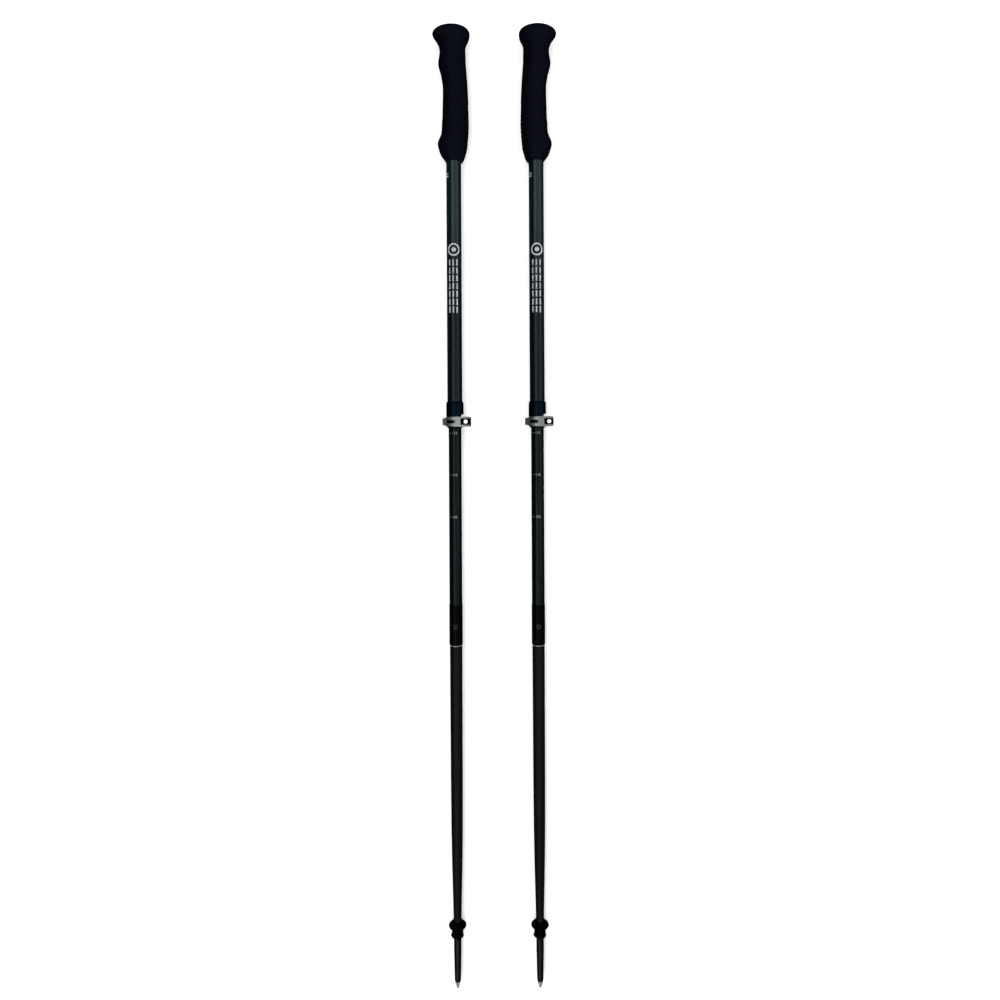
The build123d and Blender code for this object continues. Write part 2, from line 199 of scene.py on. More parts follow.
def thread(points, low, high, pitch, depth, least_radius):
    """Helical grooves between two heights, on whatever lies outside a radius."""
    radius = np.hypot(points[:, 0], points[:, 1])
    turn = np.arctan2(points[:, 0], -points[:, 1]) / (2 * math.pi)
    phase = (points[:, 2] / pitch - turn) % 1
    groove = np.abs(2 * phase - 1) ** 1.5
    inside = ease(points[:, 2], low, low + 0.6) * ease(points[:, 2], high, high - 0.6)
    return -depth * groove * inside * ease(radius, least_radius - 0.2, least_radius)


# ---------------------------------------------------------------- grip

GRIP_COLUMNS = 168
GRIP_ROWS = 330
RIB_PITCH = 4.9
RIB_DEPTH = 1.1
RIB_WIDTH = 2.1
RIBS_FROM_MOUTH = (9.0, 63.0)
RIB_ENDS = (56, 68)  # degrees from the palm's middle over which the ribs run out
PATCH_FROM_MOUTH = (8.0, 71.0)
PATCH_DEPTH = 0.35
PATCH_SIDES = (66, 72)
SCOOP_FROM_MOUTH = (45.0, 101.0)
SCOOP_DEPTH = 0.55
SCOOP_RUN = 9.0
SCOOP_SIDES = (26, 48)  # degrees from the fingers' middle
LIP = 0.9  # radius of the mouth's rounded edge
BORE_ROWS = 40
BORE_CLEARANCE = 0.05
RAY_START = 60  # a distance from the axis that is outside every part of the grip
TOP_REACH = 2.5  # reach where a ray passes over the flat end of the head


def grip_relief(angle, height):
    """Ribbed patch on the palm's side and a shallow scoop for the fingers; angle 0 is the fingers' side."""
    from_palm = math.degrees(math.pi - abs((angle + math.pi) % (2 * math.pi) - math.pi))
    from_fingers = 180 - from_palm
    on_patch = 1 - ease(from_palm, *PATCH_SIDES)
    patch = on_patch * ease(height, PATCH_FROM_MOUTH[0], PATCH_FROM_MOUTH[0] + 2)
    patch = patch * (1 - ease(height, PATCH_FROM_MOUTH[1] - 1.2, PATCH_FROM_MOUTH[1]))
    low, high = RIBS_FROM_MOUTH
    nearest = low + RIB_PITCH * round((height - low) / RIB_PITCH)
    in_rows = low - 1 < nearest < high + 1
    groove = (1 - ease(abs(height - nearest), 0.25, RIB_WIDTH / 2)) * in_rows
    groove = groove * (1 - ease(from_palm, *RIB_ENDS))
    scoop_low, scoop_high = SCOOP_FROM_MOUTH
    scoop = ease(height, scoop_low, scoop_low + SCOOP_RUN)
    scoop = scoop * (1 - ease(height, scoop_high - SCOOP_RUN, scoop_high))
    scoop = scoop * (1 - ease(from_fingers, *SCOOP_SIDES))
    return -(PATCH_DEPTH * patch + RIB_DEPTH * groove + SCOOP_DEPTH * scoop)


def grip_mesh(side):
    """The foam grip as a fine grid laid on the CAD grip, with ribs, scoop and a rounded mouth."""
    plain = pole_mesh("grip_foam", side)
    tree = BVHTree.FromPolygons([v.co for v in plain.vertices], [p.vertices for p in plain.polygons])
    low, high = numbers(plain).min(0), numbers(plain).max(0)
    mouth, top = low[2], high[2]
    bore = span("upper_tube", side)[1][0] + BORE_CLEARANCE
    bore_top = span("tube_end_plug", side)[1][2] + 0.2
    angles = np.linspace(0, 2 * math.pi, GRIP_COLUMNS, endpoint=False)
    directions = [Vector((SIDES[side] * math.cos(a), math.sin(a), 0)) for a in angles]

    def round_ring(radius, height):
        return [(d * radius + Vector((0, 0, height)))[:] for d in directions]

    rings = [round_ring(bore, height) for height in np.linspace(bore_top, mouth + LIP, BORE_ROWS)]
    rings += [round_ring(bore + 0.1, mouth + 0.3), round_ring(bore + 0.35, mouth)]
    # rows crowd towards the domed top
    share = np.linspace(0, 1, GRIP_ROWS)
    heights = mouth + 0.15 + (top - mouth - 0.2) * np.sin(share * math.pi / 2) ** 1.1
    for height in heights:
        ring = []
        from_mouth = height - mouth
        inside_lip = 1 - min(from_mouth / LIP, 1)
        turned_in = LIP * (1 - math.sqrt(1 - inside_lip ** 2)) * 0.6
        for angle, direction in zip(angles, directions):
            start = direction * RAY_START + Vector((0, 0, height))
            hit = tree.ray_cast(start, -direction)[0]
            reach = Vector((hit.x, hit.y, 0)).length if hit else TOP_REACH
            reach += grip_relief(angle, from_mouth) - turned_in
            ring.append((direction * reach + Vector((0, 0, height)))[:])
        rings.append(ring)
    bpy.data.meshes.remove(plain)
    return skin(rings, f"{side}_grip_shape")


# ---------------------------------------------------------------- clamp, hub, tip

LEVER_SLOT_MIDDLE = -4.6
LEVER_SLOT_HALF = (4.8, 1.9)
RECESS_MARGIN = 1.3
RECESS_EDGE = 0.35
RECESS_DEPTH = 0.35
FERRULE_GROOVE_FROM_TOP = 3.1
FERRULE_GROOVE_WIDTH = 0.35
FERRULE_GROOVE_DEPTH = 0.3
FERRULE_OUTSIDE = (9.6, 9.9)  # radius from which the groove is cut
FLUTES = 12
FLUTE_DEPTH = 0.3
FLUTED_RADIUS = (6.2, 6.5)
SHANK_RINGS = (36.0, 39.5)
SHANK_RING_WIDTH = 0.5
SHANK_RING_DEPTH = 0.22
# of each thread: pitch, depth, and the radius outside which it is cut
BASKET_THREAD = (2.2, 0.45, 4.6)
STUD_THREAD = (2.0, 0.5, 4.2)
SCREW_THREAD = (0.7, 0.22, 1.9)
SCREW_HEAD_EDGE = (2.35, 2.2)  # the screw's head, beyond this radius, stays plain


def lever_relief(points, normals):
    """A shallow recess that follows the lever's slot, on its outer face."""
    low, high = span("clamp_lever")
    middle_s = (low[2] + high[2]) / 2
    half_x, half_s = LEVER_SLOT_HALF
    beside = np.abs(points[:, 0] - LEVER_SLOT_MIDDLE) - (half_x - half_s)
    distance = np.hypot(np.maximum(beside, 0), points[:, 2] - middle_s) - half_s
    outward = (normals[:, 1] * points[:, 1] + normals[:, 0] * points[:, 0]) > 0
    inside = 1 - ease(distance, RECESS_MARGIN - RECESS_EDGE, RECESS_MARGIN)
    facing = ease(np.abs(normals[:, 2]), 0.7, 0.3)
    return -RECESS_DEPTH * inside * outward * facing


def ferrule_relief(points, normals):
    """A groove round the ferrule, under its top edge."""
    radius = np.hypot(points[:, 0], points[:, 1])
    from_top = span("clamp_ferrule")[1][2] - points[:, 2]
    groove = np.exp(-((from_top - FERRULE_GROOVE_FROM_TOP) / FERRULE_GROOVE_WIDTH) ** 2)
    return -FERRULE_GROOVE_DEPTH * groove * ease(radius, *FERRULE_OUTSIDE)


def hub_relief(points, normals):
    """Shallow flutes round the hub's neck and lip, for fingers to turn it by."""
    low = span("basket_hub")[0]
    angle = np.arctan2(points[:, 0], points[:, 1])
    radius = np.hypot(points[:, 0], points[:, 1])
    flute = np.maximum(0, np.cos(angle * FLUTES)) ** 3
    from_low = points[:, 2] - low[2]
    neck = ease(from_low, 0.8, 1.8) * ease(from_low, 9.6, 8.4)
    return -FLUTE_DEPTH * flute * neck * ease(radius, *FLUTED_RADIUS)


def tip_relief(points, normals):
    """The basket's thread, and two rings moulded round the shank."""
    tube_low = span("lower_tube")[0][2]
    rings = sum(np.exp(-((points[:, 2] - s) / SHANK_RING_WIDTH) ** 2) for s in SHANK_RINGS)
    radius = np.hypot(points[:, 0], points[:, 1])
    shank = -SHANK_RING_DEPTH * rings * ease(radius, 3.0, 3.4)
    return thread(points, tube_low - 21.5, tube_low - 0.8, *BASKET_THREAD) + shank


def stud_relief(points, normals):
    """The thread of the joint's stud."""
    ring_low = span("joint_ring")[0][2]
    stud_top = span("male_insert")[1][2]
    return thread(points, ring_low + 0.2, stud_top - 0.8, *STUD_THREAD)


def screw_relief(points, normals):
    """The tension screw's thread, round its own axis."""
    low, high = span("tension_screw")
    middle = (low + high) / 2
    turned = np.stack([points[:, 0] - middle[0], points[:, 2] - middle[2], -points[:, 1]], axis=1)
    radius = np.hypot(turned[:, 0], turned[:, 1])
    cut = thread(turned, -3.6, 11.0, *SCREW_THREAD)
    return cut * ease(radius, *SCREW_HEAD_EDGE)


# ---------------------------------------------------------------- printed marks

INK_THICKNESS = 0.03
DIGIT_HEIGHT = 0.7  # of the font's size


def wrapped(points, radius, middle_s):
    """Flat points (x, s) bent round a pole of that radius, on the side away from the floor."""
    angle = points[:, 0] / radius
    return np.stack(
        [radius * np.sin(angle), -radius * np.cos(angle), middle_s + points[:, 1]], axis=1
    )


def bent_sheet(shape, radius, middle_s, step=0.35):
    """Cuts a flat bmesh into narrow strips, bends it round the pole and gives it thickness."""
    xs = [v.co.x for v in shape.verts]
    for x in np.arange(min(xs) + step, max(xs), step):
        geometry = list(shape.verts) + list(shape.edges) + list(shape.faces)
        bmesh.ops.bisect_plane(shape, geom=geometry, plane_co=(x, 0, 0), plane_no=(1, 0, 0), dist=1e-5)
    flat = np.array([v.co[:] for v in shape.verts])
    bent = wrapped(flat, radius + INK_THICKNESS, middle_s)
    for vertex, point in zip(shape.verts, bent):
        vertex.co = point
    bmesh.ops.solidify(shape, geom=shape.faces[:], thickness=INK_THICKNESS * 1.6)
    return shape


def numeral(text, height, x, radius, middle_s):
    """A number printed across the pole, readable with the grip at the top."""
    curve = bpy.data.curves.new("numeral", "FONT")
    curve.body = text
    curve.align_x = "CENTER"
    curve.align_y = "CENTER"
    curve.size = height / DIGIT_HEIGHT
    curve.resolution_u = 3
    holder = bpy.data.objects.new("numeral", curve)
    bpy.context.scene.collection.objects.link(holder)
    graph = bpy.context.evaluated_depsgraph_get()
    mesh = bpy.data.meshes.new_from_object(holder.evaluated_get(graph))
    bpy.data.objects.remove(holder)
    shape = bmesh.new()
    shape.from_mesh(mesh)
    bpy.data.meshes.remove(mesh)
    bmesh.ops.remove_doubles(shape, verts=shape.verts, dist=1e-4)
    bmesh.ops.translate(shape, verts=shape.verts, vec=(x, 0, 0))
    return bent_sheet(shape, radius, middle_s)


def bar(x_low, x_high, height, radius, middle_s):
    """A plain printed bar across the pole."""
    shape = bmesh.new()
    corners = [(x_low, -height / 2), (x_high, -height / 2), (x_high, height / 2), (x_low, height / 2)]
    shape.faces.new([shape.verts.new((x, y, 0)) for x, y in corners])
    return bent_sheet(shape, radius, middle_s)


def joined(shapes, name):
    """Several bmeshes as one mesh."""
    mesh = bpy.data.meshes.new(name)
    whole = bmesh.new()
    for shape in shapes:
        part = bpy.data.meshes.new("part")
        shape.to_mesh(part)
        shape.free()
        whole.from_mesh(part)
        bpy.data.meshes.remove(part)
    bmesh.ops.recalc_face_normals(whole, faces=whole.faces)
    whole.to_mesh(mesh)
    whole.free()
    return mesh


SCALE_AT_FERRULE = 115.6  # what the length scale reads at the ferrule's lower edge, in cm
SCALE_MARKS = range(105, 130, 5)
NUMERAL_HEIGHT = 2.9
NUMERAL_X = -0.1
SCALE_DASH = (-7.2, -4.8)
SCALE_DASH_WIDTH = 0.4


def scale_marks():
    """The length scale on the middle tube: a number and a dash every 5 cm."""
    radius = span("mid_tube")[1][0]
    edge = span("clamp_ferrule")[0][2]
    shapes = []
    for mark in SCALE_MARKS:
        middle = edge - (SCALE_AT_FERRULE - mark) * 10
        shapes.append(numeral(str(mark), NUMERAL_HEIGHT, NUMERAL_X, radius, middle))
        shapes.append(bar(*SCALE_DASH, SCALE_DASH_WIDTH, radius, middle))
    return joined(shapes, "scale_marks_shape")


PRINT_FROM_FERRULE = 105.3  # from the ferrule's top to the lowest dash
DASH_PITCH = 9.3
DASH_LENGTH = 7.3
DASH_COUNT = 7
DASH_LINES = (-5.2, -0.7, 3.9)
DASH_WIDTH = 1.5
RING_GAP = 2.4
RING_RADIUS = 7.4
RING_WIDTH = 1.5
DOT_RADIUS = 2.6
TICK = (-10.2, -6.6)
TICK_WIDTH = 1.5
TICKS_UNDER_GRIP = (15.5, 18.7)
SLEEVE_MARK_HEIGHT = 22.5
SLEEVE_MARK_RADII = (1.3, 2.8)


def disc(x, y, inner, outer, radius, middle_s):
    """A printed ring, or a dot when the inner radius is 0."""
    shape = bmesh.new()
    turns = np.linspace(0, 2 * math.pi, 48, endpoint=False)
    rims = [
        [shape.verts.new((x + r * math.cos(a), y + r * math.sin(a), 0)) for a in turns]
        for r in (inner, outer) if r > 0
    ]
    if len(rims) == 1:
        shape.faces.new(rims[0])
    else:
        for i in range(len(turns)):
            j = (i + 1) % len(turns)
            shape.faces.new((rims[0][i], rims[0][j], rims[1][j], rims[1][i]))
    return bent_sheet(shape, radius, middle_s)


def upper_print():
    """Plain decoration on the upper tube: a band of dashes with a ring above it, and two ticks."""
    low, high = span("upper_tube")
    radius = (high[0] - low[0]) / 2
    start = span("clamp_ferrule")[1][2] + PRINT_FROM_FERRULE
    shapes = []
    for i in range(DASH_COUNT):
        middle = start + DASH_LENGTH / 2 + i * DASH_PITCH
        for x in DASH_LINES:
            shapes.append(bar(x - DASH_WIDTH / 2, x + DASH_WIDTH / 2, DASH_LENGTH, radius, middle))
    ring_middle = start + DASH_COUNT * DASH_PITCH + RING_GAP + RING_RADIUS
    shapes.append(disc(0, 0, RING_RADIUS - RING_WIDTH, RING_RADIUS, radius, ring_middle))
    shapes.append(disc(0, 0, 0, DOT_RADIUS, radius, ring_middle))
    mouth = span("grip_foam")[0][2]
    for below in TICKS_UNDER_GRIP:
        shapes.append(bar(*TICK, TICK_WIDTH, radius, mouth - below))
    return joined(shapes, "upper_print_shape")


def sleeve_print():
    """A small faint ring printed on the joint's sleeve."""
    low, high = span("joint_sleeve")
    radius = (high[0] - low[0]) / 2
    mark = disc(0, 0, *SLEEVE_MARK_RADII, radius, low[2] + SLEEVE_MARK_HEIGHT)
    return joined([mark], "sleeve_print_shape")


# ---------------------------------------------------------------- materials

DARK_RIM = (0.15, 0.15, 0.15, 1)  # dark lacquer and nylon lose their gloss towards the outline
FOAM_RIM = (0.2, 0.2, 0.2, 1)


class Shader:
    """One Principled material, with short ways of adding the nodes that feed it."""

    def __init__(self, name, side, **constants):
        self.material = bpy.data.materials.new(name)
        self.material.use_nodes = True
        self.nodes = self.material.node_tree.nodes
        self.links = self.material.node_tree.links
        self.nodes.clear()
        self.surface = self.nodes.new("ShaderNodeBsdfPrincipled")
        output = self.nodes.new("ShaderNodeOutputMaterial")
        self.links.new(self.surface.outputs["BSDF"], output.inputs["Surface"])
        for socket, value in constants.items():
            self.surface.inputs[socket.replace("_", " ")].default_value = value
        self.place = self.pole_place(side)

    def put(self, socket, value):
        """Links an output to a socket, or sets the socket's own value."""
        if isinstance(value, bpy.types.NodeSocket):
            self.links.new(value, socket)
        elif isinstance(value, tuple) and len(value) == 3 and len(socket.default_value) == 4:
            socket.default_value = (*value, 1)
        else:
            socket.default_value = value

    def pole_place(self, side):
        """Coordinates in the pole's frame, in millimetres."""
        where = self.nodes.new("ShaderNodeTexCoord")
        mapping = self.nodes.new("ShaderNodeMapping")
        turn = TO_POLE[side].to_3x3().normalized()
        mapping.inputs["Location"].default_value = TO_POLE[side].translation
        mapping.inputs["Rotation"].default_value = turn.to_euler("XYZ")
        mapping.inputs["Scale"].default_value = (1 / MM,) * 3
        self.links.new(where.outputs["Object"], mapping.inputs["Vector"])
        return mapping.outputs["Vector"]

    def math(self, operation, *values):
        node = self.nodes.new("ShaderNodeMath")
        node.operation = operation
        for socket, value in zip(node.inputs, values):
            self.put(socket, value)
        return node.outputs[0]

    def stretched(self, vector, scale):
        """A vector multiplied by three numbers."""
        node = self.nodes.new("ShaderNodeVectorMath")
        node.operation = "MULTIPLY"
        self.put(node.inputs[0], vector)
        node.inputs[1].default_value = scale
        return node.outputs[0]

    def rolled_out(self, radius):
        """Pole coordinates unrolled: distance round the pole, height, distance from the axis."""
        apart = self.nodes.new("ShaderNodeSeparateXYZ")
        self.links.new(self.place, apart.inputs[0])
        minus_y = self.math("MULTIPLY", apart.outputs["Y"], -1.0)
        angle = self.math("ARCTAN2", apart.outputs["X"], minus_y)
        across = self.math("MULTIPLY", angle, radius)
        together = self.nodes.new("ShaderNodeCombineXYZ")
        self.links.new(across, together.inputs["X"])
        self.links.new(apart.outputs["Z"], together.inputs["Y"])
        return together.outputs[0]

    def axis(self, letter):
        """One of the pole's coordinates, in millimetres: X across it, Z along it."""
        apart = self.nodes.new("ShaderNodeSeparateXYZ")
        self.links.new(self.place, apart.inputs[0])
        return apart.outputs[letter]

    def noise(self, vector, scale, detail=3.0, roughness=0.55):
        node = self.nodes.new("ShaderNodeTexNoise")
        self.put(node.inputs["Vector"], vector)
        node.inputs["Scale"].default_value = scale
        node.inputs["Detail"].default_value = detail
        node.inputs["Roughness"].default_value = roughness
        return node.outputs["Fac"]

    def cells(self, vector, scale, randomness=1.0):
        node = self.nodes.new("ShaderNodeTexVoronoi")
        self.put(node.inputs["Vector"], vector)
        node.inputs["Scale"].default_value = scale
        node.inputs["Randomness"].default_value = randomness
        return node.outputs["Distance"]

    def fade(self, value, start, end, low=0.0, high=1.0):
        """A value mapped from start..end to low..high, and held there outside."""
        node = self.nodes.new("ShaderNodeMapRange")
        self.put(node.inputs["Value"], value)
        for socket, number in (("From Min", start), ("From Max", end), ("To Min", low), ("To Max", high)):
            node.inputs[socket].default_value = number
        return node.outputs[0]

    def blend(self, factor, first, second):
        """A colour between two colours."""
        node = self.nodes.new("ShaderNodeMix")
        node.data_type = "RGBA"
        self.put(node.inputs[0], factor)
        self.put(node.inputs[6], first)
        self.put(node.inputs[7], second)
        return node.outputs[2]

    def edges(self, radius):
        """1 on convex and concave edges of about that radius in millimetres, 0 on open faces."""
        bevel = self.nodes.new("ShaderNodeBevel")
        bevel.samples = 4
        bevel.inputs["Radius"].default_value = radius * MM
        geometry = self.nodes.new("ShaderNodeNewGeometry")
        dot = self.nodes.new("ShaderNodeVectorMath")
        dot.operation = "DOT_PRODUCT"
        self.links.new(bevel.outputs[0], dot.inputs[0])
        self.links.new(geometry.outputs["Normal"], dot.inputs[1])
        return self.fade(dot.outputs["Value"], 0.995, 0.9)

    def bump(self, height, depth, strength=1.0, under=None):
        """A normal from a height, whose full range is depth millimetres."""
        node = self.nodes.new("ShaderNodeBump")
        node.inputs["Strength"].default_value = strength
        node.inputs["Distance"].default_value = depth * MM
        self.put(node.inputs["Height"], height)
        if under:
            self.put(node.inputs["Normal"], under)
        return node.outputs[0]

    def finish(self, colour=None, roughness=None, normal=None):
        for socket, value in (("Base Color", colour), ("Roughness", roughness), ("Normal", normal)):
            if value is not None:
                self.put(self.surface.inputs[socket], value)
        return self.material


def carbon(side, name, radius, shine, gloss, lacquer, painted_highlight=None):
    """Lacquered carbon tube: fine lengthwise fibres, a faint twill, handling marks and, where asked, a
    painted highlight along part of its length.
    """
    shader = Shader(
        f"{side}_{name}", side, Metallic=1.0, Specular_Tint=DARK_RIM,
        Coat_Weight=lacquer, Coat_Roughness=0.2, Coat_IOR=1.4,
    )
    flat = shader.rolled_out(radius)
    fibres = shader.noise(shader.stretched(flat, (6.0, 0.04, 1)), 1.0, 3)
    lanes = shader.noise(shader.stretched(flat, (1.1, 0.012, 1)), 1.0, 2)
    twill = shader.nodes.new("ShaderNodeTexWave")
    shader.links.new(flat, twill.inputs["Vector"])
    twill.bands_direction = "DIAGONAL"
    twill.inputs["Scale"].default_value = 0.11
    twill.inputs["Distortion"].default_value = 0.4
    scratches = shader.noise(shader.stretched(flat, (9.0, 0.16, 1)), 1.0, 6, 0.75)
    scratched = shader.fade(scratches, 0.68, 0.76, 0.0, 0.5)
    dusty = shader.noise(shader.place, 0.06, 5)
    mixed = shader.math("ADD", shader.math("MULTIPLY", fibres, 0.5), shader.math("MULTIPLY", lanes, 0.5))
    dark = tuple(0.78 * c for c in shine)
    light = tuple(1.22 * c for c in shine)
    colour = shader.blend(shader.fade(mixed, 0.35, 0.65), dark, light)
    colour = shader.blend(shader.math("MULTIPLY", twill.outputs["Fac"], 0.25), colour, light)
    if painted_highlight:
        # painted highlight: the lacquer is painted lighter from the first of these heights to the second,
        # standing in for brighter light near the grip
        highlight_rise = shader.fade(shader.axis("Z"), *painted_highlight, 0.0, 0.9)
        colour = shader.blend(highlight_rise, colour, tuple(2.0 * c for c in shine))
    colour = shader.blend(shader.math("MULTIPLY", scratched, 0.12), colour, (0.05, 0.055, 0.058))
    dulled = shader.fade(dusty, 0.3, 0.7, gloss - 0.04, gloss + 0.04)
    roughness = shader.math("ADD", dulled, shader.math("MULTIPLY", scratched, 0.15))
    normal = shader.bump(fibres, 0.006, 0.4)
    normal = shader.bump(scratched, 0.006, -0.4, normal)
    return shader.finish(colour, roughness, normal)


def foam(side):
    """Black closed-cell foam: matt, finely pored with painted shade in the pores, a little polished where
    the hand rubs it.
    """
    shader = Shader(f"{side}_foam", side, Metallic=1.0, Specular_Tint=FOAM_RIM)
    pores = shader.cells(shader.place, 1.7)
    fine = shader.noise(shader.place, 4.5, 5, 0.7)
    cloudy = shader.noise(shader.place, 0.09, 4)
    black, faded = (0.0038, 0.0042, 0.0078), (0.0060, 0.0066, 0.0118)
    pore_shade, rubbed = (0.0013, 0.0014, 0.0030), (0.0065, 0.0072, 0.0140)
    colour = shader.blend(shader.fade(cloudy, 0.3, 0.7), black, faded)
    # painted shade: the colour darkens towards the middle of each pore
    colour = shader.blend(shader.fade(pores, 0.0, 0.32, 0.6, 0.0), colour, pore_shade)
    colour = shader.blend(shader.math("MULTIPLY", shader.edges(1.2), 0.35), colour, rubbed)
    roughness = shader.fade(cloudy, 0.25, 0.75, 0.62, 0.82)
    normal = shader.bump(fine, 0.10, 0.6)
    normal = shader.bump(pores, 0.14, 0.5, normal)
    return shader.finish(colour, roughness, normal)


def moulded(side, name, colour, worn, gloss, grain=1.0):
    """Moulded nylon: spark-eroded grain, rubbed lighter and smoother along its edges."""
    shader = Shader(f"{side}_{name}", side, Metallic=1.0, Specular_Tint=DARK_RIM)
    grainy = shader.noise(shader.place, 3.2, 4, 0.6)
    cloudy = shader.noise(shader.place, 0.16, 4)
    edge = shader.math("MULTIPLY", shader.edges(0.5), shader.fade(cloudy, 0.3, 0.65, 0.25, 0.9))
    base = shader.blend(shader.fade(cloudy, 0.3, 0.7), tuple(0.8 * c for c in colour), colour)
    base = shader.blend(shader.fade(grainy, 0.5, 0.75, 0.0, 0.35), base, worn)
    base = shader.blend(edge, base, worn)
    varied = shader.fade(grainy, 0.3, 0.7, gloss - 0.06, gloss + 0.08)
    roughness = shader.math("SUBTRACT", varied, shader.math("MULTIPLY", edge, 0.12))
    return shader.finish(base, roughness, shader.bump(grainy, 0.05 * grain, 0.6))


def satin_alloy(side, name, colour, worn, metallic, gloss, painted_shade_end=None, **constants):
    """Cast and painted or anodised alloy: fine orange peel, bright where the edges are rubbed, and, where
    asked, painted shade towards one end.
    """
    shader = Shader(f"{side}_{name}", side, Metallic=metallic, **constants)
    peel = shader.noise(shader.place, 1.6, 3)
    fine = shader.noise(shader.place, 9.0, 2)
    cloudy = shader.noise(shader.place, 0.25, 4)
    edge = shader.math("MULTIPLY", shader.edges(0.35), shader.fade(cloudy, 0.35, 0.6, 0.2, 1.0))
    speckle = shader.noise(shader.stretched(shader.place, (1.2, 1.2, 5.0)), 0.9, 6, 0.8)
    nicks = shader.fade(speckle, 0.7, 0.74)
    base = shader.blend(shader.fade(cloudy, 0.25, 0.75), tuple(0.88 * c for c in colour), colour)
    base = shader.blend(shader.math("MAXIMUM", edge, shader.math("MULTIPLY", nicks, 0.5)), base, worn)
    if painted_shade_end:
        # painted shade: across the pole, the colour gets darker from the first of these x to the second,
        # where the lever's free end bends down round the pole, away from the light
        shade_ramp = shader.fade(shader.axis("X"), *painted_shade_end, 0.0, 0.8)
        base = shader.blend(shade_ramp, base, tuple(0.12 * c for c in colour))
    roughness = shader.fade(fine, 0.3, 0.7, gloss - 0.05, gloss + 0.06)
    normal = shader.bump(peel, 0.03, 0.5)
    normal = shader.bump(fine, 0.01, 0.5, normal)
    return shader.finish(base, roughness, normal)


def turned_metal(side, name, colour, gloss, pitch=0.12, rim=1.0):
    """Turned metal: fine tool lines round the pole, dull spots, and a rim seen that bright."""
    shader = Shader(f"{side}_{name}", side, Metallic=1.0, Specular_Tint=(rim, rim, rim, 1))
    lines = shader.noise(shader.stretched(shader.place, (0.15, 0.15, 1 / pitch)), 1.0, 2)
    cloudy = shader.noise(shader.place, 0.5, 4)
    base = shader.blend(shader.fade(cloudy, 0.3, 0.7), tuple(0.82 * c for c in colour), colour)
    base = shader.blend(shader.math("MULTIPLY", shader.edges(0.3), 0.5), base, (0.9, 0.9, 0.9))
    dulled = shader.fade(cloudy, 0.3, 0.7, gloss - 0.05, gloss + 0.08)
    roughness = shader.math("ADD", dulled, shader.fade(lines, 0.4, 0.6, 0.0, 0.06))
    return shader.finish(base, roughness, shader.bump(lines, 0.012, 0.6))


def ink(side, name, colour, rubbed):
    """Printed ink, thin and slightly rubbed off in specks."""
    shader = Shader(f"{side}_{name}", side, Specular_IOR_Level=0.3)
    specks = shader.noise(shader.place, 2.6, 5, 0.7)
    streaks = shader.noise(shader.stretched(shader.place, (3.0, 3.0, 0.3)), 1.0, 3)
    lost = shader.math("MAXIMUM", shader.fade(specks, 0.62, 0.72), shader.fade(streaks, 0.68, 0.78))
    base = shader.blend(lost, colour, rubbed)
    roughness = shader.fade(specks, 0.3, 0.7, 0.42, 0.6)
    return shader.finish(base, roughness, shader.bump(specks, 0.008, 0.5))


TUBE_RADIUS = {"upper": 8.95, "mid": 7.65, "lower": 7.2, "sleeve": 8.0}
PAINTED_HIGHLIGHT_FROM_TO = (800, 920)  # heights between which a painted highlight lightens the upper tube's lacquer, standing in for brighter light near the grip
LEVER_PAINTED_SHADE = (-2.5, -10.5)  # x between which painted shade darkens the lever towards its free end, which bends away from the light


def tube_materials(side):
    """Lacquers of the tubes and the joint's sleeve."""
    radius = TUBE_RADIUS
    return {
        "upper": carbon(
            side, "carbon_upper", radius["upper"], (0.0090, 0.0132, 0.0152), 0.38, 0.03, PAINTED_HIGHLIGHT_FROM_TO
        ),
        "mid": carbon(side, "carbon_mid", radius["mid"], (0.0066, 0.0094, 0.0100), 0.38, 0.02),
        "lower": carbon(side, "carbon_lower", radius["lower"], (0.0088, 0.0103, 0.0112), 0.62, 0.01),
        "sleeve": carbon(side, "sleeve_black", radius["sleeve"], (0.0016, 0.0017, 0.0020), 0.42, 0.03),
    }


def plastic_materials(side):
    """Foam and nylons: base colour, colour where worn, roughness, grain."""
    return {
        "foam": foam(side),
        "nylon": moulded(side, "nylon", (0.0024, 0.0054, 0.0100), (0.008, 0.012, 0.017), 0.42),
        "hub": moulded(side, "hub_nylon", (0.0015, 0.0017, 0.0022), (0.005, 0.0053, 0.006), 0.45, 1.2),
        "tip": moulded(side, "tip_nylon", (0.018, 0.0192, 0.0190), (0.034, 0.034, 0.034), 0.38, 0.8),
    }


def metal_materials(side):
    """Painted, cast and turned metals."""
    paint, bare_paint = (0.150, 0.162, 0.156), (0.28, 0.29, 0.29)
    black, bare_black = (0.005, 0.0055, 0.006), (0.05, 0.05, 0.05)
    steel, bare_steel = (0.004, 0.0042, 0.0045), (0.02, 0.02, 0.02)
    white, bare_white = (0.92, 0.93, 0.93), (0.97, 0.97, 0.97)
    return {
        "lever": satin_alloy(side, "lever_alloy", paint, bare_paint, 0.75, 0.40, LEVER_PAINTED_SHADE),
        "band": satin_alloy(side, "band_alloy", black, bare_black, 1.0, 0.42, Specular_Tint=DARK_RIM),
        "barrel": satin_alloy(side, "barrel_steel", steel, bare_steel, 1.0, 0.4, Specular_Tint=DARK_RIM),
        "screw": satin_alloy(side, "screw_metal", white, bare_white, 0.05, 0.4),
        "ring": turned_metal(side, "ring_metal", (0.24, 0.25, 0.26), 0.42),
        "insert": turned_metal(side, "insert_metal", (0.56, 0.57, 0.58), 0.33, 0.3),
        "collar": turned_metal(side, "collar_metal", (0.56, 0.57, 0.57), 0.48, rim=0.5),
        "carbide": turned_metal(side, "carbide", (0.05, 0.052, 0.055), 0.45, 0.2),
    }


